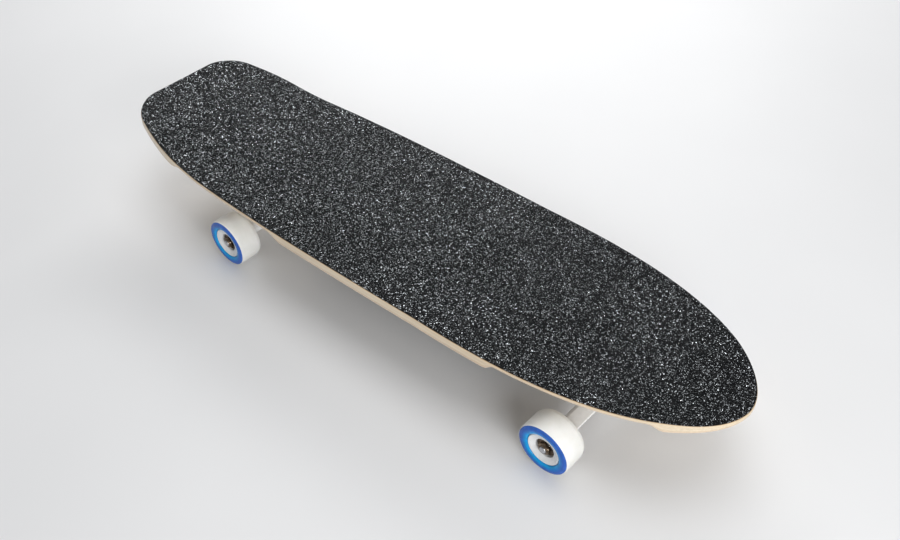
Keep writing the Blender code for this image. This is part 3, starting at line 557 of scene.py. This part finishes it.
def surface_height(x, y):
    """Height of the grip's surface: a raised rim round a flat middle, and the tail's kick."""
    share = min(abs(y) / max(half_width(x), 1.0), 1.0)
    nose_fade = smooth((NOSE_TIP - x) / NOSE_FLATTENING)
    tail_fade = smooth((x - TAIL_END) / TAIL_FLATTENING)
    lift = smooth((share - FLAT_SHARE) / (1 - FLAT_SHARE))
    return RIM_Z + kick_height(x) - CONCAVE * tail_fade * (1 - nose_fade * lift)


def surface_normal(x):
    step = 1.0
    rise = (kick_height(x - step) - kick_height(x + step)) / (2 * step)
    return Vector((rise, 0.0, 1.0)).normalized()


def wood_thickness(x, y):
    """Full in the middle, thin in the wells over the wheels, and thinning up to the nose."""
    past_well = max(x - FRONT_WELL[3], 0.0) / (NOSE_TIP - FRONT_WELL[3])
    full = DECK_THICKNESS - (DECK_THICKNESS - NOSE_RIM_THICKNESS) * past_well
    share = abs(y) / max(half_width(x), 1.0)
    outside = smooth((share - WELL_SHARES[0]) / (WELL_SHARES[1] - WELL_SHARES[0]))
    cut = 0.0
    for full_1, thin_1, thin_2, full_2 in (REAR_WELL, FRONT_WELL):
        rise = smooth((x - full_1) / (thin_1 - full_1))
        fall = smooth((full_2 - x) / (full_2 - thin_2))
        cut = max(cut, min(rise, fall))
    return full - (DECK_THICKNESS - WELL_THICKNESS) * cut * outside


def deck_outline(spacing=4.0):
    """The rim in plan, anticlockwise from the nose's tip: points and outward directions."""
    fine = 600
    side = []
    for step in range(fine + 1):
        x = TAIL_END + LENGTH * (1 - math.cos(math.pi * (1 - step / fine))) / 2
        side.append(Vector((x, half_width(x))))
    tail_straight = [Vector((TAIL_END, side[-1].y * (1 - 2 * i / 20))) for i in range(1, 20)]
    raw = side + tail_straight + [Vector((p.x, -p.y)) for p in reversed(side[1:])]
    walked = [0.0]
    for near, far in zip(raw, raw[1:] + raw[:1]):
        walked.append(walked[-1] + (far - near).length)
    count = 2 * round(walked[-1] / spacing / 2)
    points = []
    at = 0
    for step in range(count):
        target = walked[-1] * step / count
        while walked[at + 1] < target:
            at += 1
        share = (target - walked[at]) / max(walked[at + 1] - walked[at], 1e-9)
        points.append(raw[at].lerp(raw[(at + 1) % len(raw)], share))
    outward = []
    for i in range(count):
        along = points[(i + 1) % count] - points[i - 1]
        outward.append(Vector((along.y, -along.x)).normalized())
    return points, outward


def rings_in(points, outward, inset, shares):
    """The rim moved in by inset, then drawn towards the deck's middle line by each share."""
    rows = []
    for share in shares:
        row = []
        for point, direction in zip(points, outward):
            rim = point - direction * inset
            spine = Vector((min(max(rim.x, TAIL_END + 100), NOSE_TIP - 100), 0.0))
            row.append(spine.lerp(rim, share))
        rows.append(row)
    return rows


def placed(row, depth):
    """A ring in plan put on the deck at a depth, which may be a function of (x, y)."""
    result = []
    for point in row:
        down = depth(point.x, point.y) if callable(depth) else depth
        top = Vector((point.x, point.y, surface_height(point.x, point.y)))
        below = top - surface_normal(point.x) * down
        below.x = max(below.x, TAIL_END)
        result.append(below)
    return result


# Rings from the rim (1) to the middle line (0), closest where the surface bends.
TOP_SHARES = [1.0, 0.985, 0.96, 0.93, 0.90, 0.86, 0.82, 0.78, 0.74, 0.70, 0.66, 0.62]
TOP_SHARES += [0.58, 0.5, 0.35, 0.18, 0.0]
UNDER_SHARES = [0.0, 0.2, 0.4, 0.55, 0.59, 0.62, 0.64, 0.66, 0.68, 0.70, 0.72, 0.75]
UNDER_SHARES += [0.8, 0.86, 0.92, 0.97, 1.0]


def make_deck():
    """The wood: its top face, a rounded rim and the underside with its wheel wells."""
    points, outward = deck_outline()
    top_radius = 1.0
    bottom_radius = 2.6
    rows = []
    marks = []

    def add(row, mark):
        rows.append(row)
        marks.append(mark)

    def bottom(x, y):
        return DECK_TOP_DEPTH + wood_thickness(x, y)

    for row in rings_in(points, outward, bottom_radius, UNDER_SHARES):
        add(placed(row, bottom), 1.0)
    for step in range(1, 6):
        turn = math.pi / 2 * step / 5
        inset = bottom_radius * (1 - math.sin(turn))
        row = rings_in(points, outward, inset, [1.0])[0]
        rise = bottom_radius * (1 - math.cos(turn))
        add(placed(row, lambda x, y: bottom(x, y) - rise), 1.0 - rise / DECK_THICKNESS)
    for share in (0.75, 0.5, 0.25):
        row = rings_in(points, outward, 0.0, [1.0])[0]
        high = DECK_TOP_DEPTH + top_radius

        def between(x, y):
            return high + (bottom(x, y) - bottom_radius - high) * share

        add(placed(row, between), 0.08 + share * (0.72 - 0.08))
    for step in range(6):
        turn = math.pi / 2 * step / 5
        inset = top_radius * (1 - math.cos(turn))
        row = rings_in(points, outward, inset, [1.0])[0]
        add(placed(row, DECK_TOP_DEPTH + top_radius * (1 - math.sin(turn))), 0.075 - 0.06 * step / 5)
    for row in rings_in(points, outward, top_radius, TOP_SHARES[1:]):
        add(placed(row, DECK_TOP_DEPTH), 0.0)

    columns = [list(column) for column in zip(*rows)]
    shape = open_skin(columns, marks)
    piece = finish_piece("deck_plies", shape, "maple", "root")
    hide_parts("deck")


def open_skin(columns, marks):
    """A skin of columns round the rim, whose ends meet on the deck's middle line."""
    shape = bmesh.new()
    uv = shape.loops.layers.uv.new("UVMap")
    verts = [[shape.verts.new(point) for point in column] for column in columns]
    count = len(columns)
    for i in range(count):
        near, far = verts[i], verts[(i + 1) % count]
        for j in range(len(marks) - 1):
            face = shape.faces.new((near[j], far[j], far[j + 1], near[j + 1]))
            corners = ((marks[j], i), (marks[j], i + 1), (marks[j + 1], i + 1), (marks[j + 1], i))
            for loop, (u, v) in zip(face.loops, corners):
                loop[uv].uv = (u, v / count)
    return shape


def make_grip():
    points, outward = deck_outline()
    low_depth = DECK_TOP_DEPTH - 0.08
    rows = [placed(row, low_depth) for row in rings_in(points, outward, GRIP_EDGE, reversed(TOP_SHARES))]
    edge = 0.35
    for step in range(4):
        turn = math.pi / 2 * step / 3
        row = rings_in(points, outward, GRIP_EDGE + edge * (1 - math.cos(turn)), [1.0])[0]
        rows.append(placed(row, GRIP_TOP_DEPTH + edge * (1 - math.sin(turn))))
    inner_rings = rings_in(points, outward, GRIP_EDGE + edge, TOP_SHARES[1:])
    rows += [placed(row, GRIP_TOP_DEPTH) for row in inner_rings]
    columns = [list(column) for column in zip(*rows)]
    shape = open_skin(columns, [i / len(rows) for i in range(len(rows))])
    piece = finish_piece("grip_sheet", shape, "grip", "root")
    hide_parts("grip_tape")


# ---- wheels -----------------------------------------------------------------------------


def outwards(side, x, y, z):
    """The matrix that turns +Z outwards along side * Y, at a point."""
    return Matrix.Translation((x, y, z)) @ Matrix.Rotation(-side * math.pi / 2, 4, "X")


def socket_head(radius, height, socket, sides=32):
    """A round screw head with a six-sided socket, its seat at z = 0."""
    profile = [(radius, 0.0), (radius, height * 0.45), (radius * 0.93, height * 0.72)]
    profile += [(radius * 0.72, height * 0.95), (radius * 0.6, height)]
    rows = []
    for step in range(sides):
        angle = 2 * math.pi * step / sides
        direction = Vector((math.cos(angle), math.sin(angle), 0.0))
        sector = (angle + math.pi / 6) % (math.pi / 3) - math.pi / 6
        wall = direction * (socket / math.cos(sector))
        row = [direction * r + Vector((0, 0, z)) for r, z in profile]
        row += [wall + Vector((0, 0, height)), wall + Vector((0, 0, height * 0.35))]
        row += [Vector((0, 0, height * 0.3)), Vector((0, 0, 0))]
        rows.append(row)
    return skin(rows, [0.5] * len(rows[0]))


def make_tyre(corner, body, place):
    profile = [
        (24.4, 0.9, 0.4), (27.0, 0.1, 0.6), (29.4, 1.3, 1.6), (TYRE_RADIUS, 5.4, 3.0),
        (TYRE_RADIUS, 28.6, 1.0), (30.6, 30.1, 0.5), (30.3, 30.75, 0.25), (30.15, 30.7, 0.05),
        (30.1, 28.5, 0.0), (24.4, 28.5, 0.0),
    ]
    piece = finish_piece(f"{corner}_tyre_casting", turned(profile), "white_urethane", body, place)
    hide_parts(f"{corner}_tyre")


def make_hub(corner, body, place):
    """The blue ring with its crowned face, on the core that carries the bearings."""
    ring = [
        (24.1, 28.7, 0.0), (29.85, 28.8, 0.0), (29.85, 30.6, 0.35), (28.9, 31.2, 0.9), (26.6, 31.85, 3.0),
        (24.0, 31.95, 3.0), (21.6, 31.5, 2.0), (20.1, 30.75, 0.7), (19.65, 29.4, 0.4), (19.65, 27.5, 0.0),
        (21.0, 27.5, 0.0), (24.1, 27.5, 0.0),
    ]
    ring_piece = finish_piece(
        f"{corner}_hub_ring", turned(ring, span=(29.9, 19.65)), "blue_enamel", body, place
    )
    core = [
        (11.35, 1.9, 0.5), (14.2, 1.9, 0.4), (15.0, 3.2, 0.5), (21.0, 3.2, 0.6), (22.0, 1.9, 0.5),
        (23.95, 1.9, 0.4), (23.95, 27.4, 0.0), (19.7, 27.4, 0.0), (19.7, 9.1, 1.0), (11.35, 9.1, 0.3),
    ]
    core_piece = finish_piece(
        f"{corner}_hub_core", turned(core), "blue_enamel", body, place, finish="aluminium"
    )
    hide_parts(f"{corner}_hub")
    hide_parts(f"{corner}_hub")


def make_disc(corner, body, place):
    """The white dished disc inside the ring, which holds the outer bearing."""
    profile = [
        (11.35, 16.6, 0.0), (14.9, 16.6, 0.3), (14.9, 24.0, 1.0), (19.3, 26.2, 0.3), (19.3, 29.6, 0.3),
        (18.7, 30.35, 0.5), (17.4, 30.0, 1.5), (12.4, 27.9, 1.5), (11.5, 27.3, 0.4),
    ]
    piece = finish_piece(f"{corner}_dished_disc", turned(profile), "white_plastic", body, place)
    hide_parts(f"{corner}_hub_cover")


def make_bearing(corner, which, start, body, place):
    """Outer race, inner race and a pressed shield with a raised rib between them. The shield's dark bronze is
    partly its own colour and partly painted shade of the recess the bearing sits in.
    """
    end = start + BEARING_WIDTH
    outer = [(9.4, start, 0.15), (10.95, start, 0.5), (10.95, end, 0.5), (9.4, end, 0.15)]
    inner = [(4.35, start, 0.3), (6.0, start, 0.15), (6.0, end, 0.15), (4.35, end, 0.3)]
    shield = [
        (6.2, start + 0.6, 0.1), (9.35, start + 0.6, 0.1), (9.35, end - 0.45, 0.15), (8.9, end - 0.45, 0.2),
        (8.5, end - 0.85, 0.25), (6.9, end - 0.85, 0.25), (6.5, end - 0.5, 0.2), (6.2, end - 0.5, 0.1),
    ]
    # The outer race takes the dark shield finish instead of steel, as painted shade.
    parts = (("outer_race", outer, "shield"), ("inner_race", inner, "steel"), ("shield", shield, "shield"))
    for part, profile, finish in parts:
        name = f"{corner}_{which}_{part}"
        piece = finish_piece(name, turned(profile, 64), "steel", body, place, finish=finish)
        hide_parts(f"{corner}_{which}_bearing")


def make_lock_nut(corner, start, body, place):
    """A lock nut on the axle, with chamfered flats and a round collar."""
    low = start
    high = start + 4.9
    reach = 6.45
    rows = []
    steps = 48
    for step in range(steps):
        angle = 2 * math.pi * step / steps
        sector = (angle + math.pi / 6) % (math.pi / 3) - math.pi / 6
        flat = reach / math.cos(sector)
        chamfer = max(flat - reach, 0.0) * 0.6
        direction = Vector((math.cos(angle), math.sin(angle), 0.0))
        row = [(4.4, low), (flat - chamfer * 0.5, low), (flat, low + 0.3 + chamfer)]
        row += [(flat, high - 1.5 - chamfer), (flat - chamfer, high - 1.2)]
        row += [(5.6, high - 1.1), (5.4, high - 0.2), (4.9, high), (4.4, high - 0.3)]
        rows.append([direction * r + Vector((0, 0, z)) for r, z in row])
    shape = skin(rows, [0.5] * len(rows[0]))
    piece = finish_piece(f"{corner}_lock_nut", shape, "steel", body, place, finish="bronze")
    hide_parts(f"{corner}_axle_nut")


def make_motor_cap(corner, body, place):
    """Screws round the inner face of a hub that holds a motor."""
    for index in range(6):
        angle = 2 * math.pi * (index + 0.5) / 6
        seat = Matrix.Translation((17.9 * math.cos(angle), 17.9 * math.sin(angle), 3.2))
        down = Matrix.Rotation(math.pi, 4, "X")
        name = f"{corner}_cap_screw_{index + 1}"
        finish_piece(name, socket_head(1.9, 1.5, 0.9), "steel", body, place @ seat @ down)


def make_wheels():
    for end, centre in (("front", FRONT_AXLE), ("rear", REAR_AXLE)):
        for side_name, side in (("left", 1), ("right", -1)):
            corner = f"{end}_{side_name}"
            body = f"{corner}_wheel"
            place = outwards(side, centre.x, side * WHEEL_INNER_Y, centre.z)
            make_tyre(corner, body, place)
            make_hub(corner, body, place)
            make_disc(corner, body, place)
            make_bearing(corner, "outer", OUTER_BEARING_START, body, place)
            make_bearing(corner, "inner", INNER_BEARING_START, body, place)
            make_lock_nut(corner, AXLE_NUT_START, NODE_BODY[f"{corner}_axle_nut"], place)
            if end == "rear":
                make_motor_cap(corner, body, place)


# ---- trucks, housing and controls -------------------------------------------------------


def make_truck_details(end):
    """Bolts up into the deck through each corner of the baseplate."""
    low, high = box_mm(f"{end}_riser_pad")
    middle = (low + high) / 2
    under_base = low.z - GAP - BASE_THICKNESS
    for index, (sx, sy) in enumerate(((1, 1), (1, -1), (-1, 1), (-1, -1))):
        at = Matrix.Translation((middle.x + sx * BOLT_X, sy * BOLT_Y, under_base - 0.05))
        down = Matrix.Rotation(math.pi, 4, "X")
        washer = [(2.8, 0.0, 0.1), (5.0, 0.0, 0.2), (5.0, 0.8, 0.2), (2.8, 0.8, 0.1)]
        finish_piece(f"{end}_bolt_washer_{index + 1}", turned(washer, 48), "steel", "root", at @ down)
        raised = at @ down @ Matrix.Translation((0, 0, 0.8))
        finish_piece(f"{end}_mount_bolt_{index + 1}", socket_head(4.2, 3.4, 1.9), "steel", "root", raised)


def make_cover_screws():
    """Screws through the flange of the housing, up into the deck."""
    low, high = box_mm("underside_cover")
    middle = (low + high) / 2
    flange_under = high.z - FLANGE_THICKNESS
    half_length = (high.x - low.x) / 2 - SCREW_INSET
    half_width_here = (high.y - low.y) / 2 - SCREW_INSET
    spots = [(x, side * half_width_here) for side in (1, -1) for x in (-120.0, -40.0, 40.0, 120.0)]
    spots += [(side * half_length, y) for side in (1, -1) for y in (-28.0, 28.0)]
    for index, (x, y) in enumerate(spots):
        at = Matrix.Translation((middle.x + x, y, flange_under)) @ Matrix.Rotation(math.pi, 4, "X")
        finish_piece(f"cover_screw_{index + 1:02d}", socket_head(3.3, 2.0, 1.3), "steel", "root", at)


def make_carried_over():
    """The CAD nodes whose shape stays, each with rounded edges and its own finish."""
    refined("underside_cover", "black_plastic", 0.8, 3)
    refined("cover_gasket", "black_rubber", 0.2)
    refined("motor_controller", "aluminium", 0.6)
    refined("battery_board", "circuit_board", 0.3)
    refined("battery_pack", "battery_wrap", 0.5)
    refined("power_button", "black_plastic", 0.3)
    refined("button_bezel", "aluminium", 0.25)
    refined("charge_port", "black_plastic", 0.25)
    refined("charge_port_cap", "black_rubber", 0.3)
    refined("indicator_lens", "lens", 0.5, 3)
    for end in ("front", "rear"):
        refined(f"{end}_riser_pad", "black_rubber", 0.4)
        refined(f"{end}_baseplate", "white_paint", 0.9, 3)
        refined(f"{end}_hanger", "white_paint", 0.9, 3)
        refined(f"{end}_pivot_cup", "black_rubber", 0.3)
        refined(f"{end}_kingpin", "steel", 0.3)
        refined(f"{end}_kingpin_nut", "steel", 0.4)
        make_bushing(end, "upper")
        make_bushing(end, "lower")
        refined(f"{end}_upper_washer", "steel", 0.3)
        refined(f"{end}_lower_washer", "steel", 0.3)
        refined(f"{end}_axle", "steel", 0.3)
    for side in ("left", "right"):
        refined(f"rear_{side}_stator", "copper", 0.4)


# ---- studio -----------------------------------------------------------------------------


def make_floor():
    shape = bmesh.new()
    bmesh.ops.create_grid(shape, x_segments=8, y_segments=8, size=FLOOR_HALF_SIZE)
    mesh = bpy.data.meshes.new("studio_floor")
    shape.to_mesh(mesh)
    shape.free()
    floor = bpy.data.objects.new("studio_floor", mesh)
    mesh.materials.append(floor_material())
    bpy.context.scene.collection.objects.link(floor)


def area_light(name, position, target, size, power):
    data = bpy.data.lights.new(name, "AREA")
    data.shape = "RECTANGLE"
    data.size, data.size_y = size
    data.energy = power
    light = bpy.data.objects.new(name, data)
    light.location = position
    light.rotation_euler = (Vector(target) - Vector(position)).to_track_quat("-Z", "Y").to_euler()
    bpy.context.scene.collection.objects.link(light)


def make_studio():
    make_floor()
    area_light("overhead_softbox", (0.1, 0.4, 2.4), (0.0, 0.0, 0.0), (2.4, 1.6), 26)
    area_light("front_softbox", (1.9, -1.0, 0.9), (0.2, 0.0, 0.05), (1.2, 1.0), 33)
    area_light("back_strip", (-1.1, 1.35, 0.95), (-0.1, -0.05, 0.08), (1.6, 0.4), 20)
    world = bpy.data.worlds.new("studio")
    world.use_nodes = True
    background = world.node_tree.nodes["Background"]
    background.inputs["Color"].default_value = (0.86, 0.88, 0.90, 1.0)
    background.inputs["Strength"].default_value = 0.32
    bpy.context.scene.world = world
    bpy.context.scene.view_settings.view_transform = "Standard"


def make_camera():
    """Turned by yaw round +Z from looking along +Y, then pitched down and rolled."""
    level = Vector((-math.sin(CAMERA_YAW), math.cos(CAMERA_YAW), 0.0))
    forward = level * math.cos(CAMERA_PITCH) - Vector((0.0, 0.0, math.sin(CAMERA_PITCH)))
    right = Vector((math.cos(CAMERA_YAW), math.sin(CAMERA_YAW), 0.0))
    up = right.cross(forward)
    rolled_right = right * math.cos(CAMERA_ROLL) + up * math.sin(CAMERA_ROLL)
    rolled_up = up * math.cos(CAMERA_ROLL) - right * math.sin(CAMERA_ROLL)
    data = bpy.data.cameras.new("camera")
    data.sensor_width = SENSOR_WIDTH
    data.lens = LENS
    data.clip_start = 0.01
    camera = bpy.data.objects.new("camera", data)
    matrix = Matrix((rolled_right, rolled_up, -forward)).transposed().to_4x4()
    matrix.translation = CAMERA_PLACE
    camera.matrix_world = matrix
    bpy.context.scene.collection.objects.link(camera)
    bpy.context.scene.camera = camera


make_deck()
make_grip()
make_wheels()
make_truck_details("front")
make_truck_details("rear")
make_cover_screws()
make_carried_over()
make_studio()
make_camera()
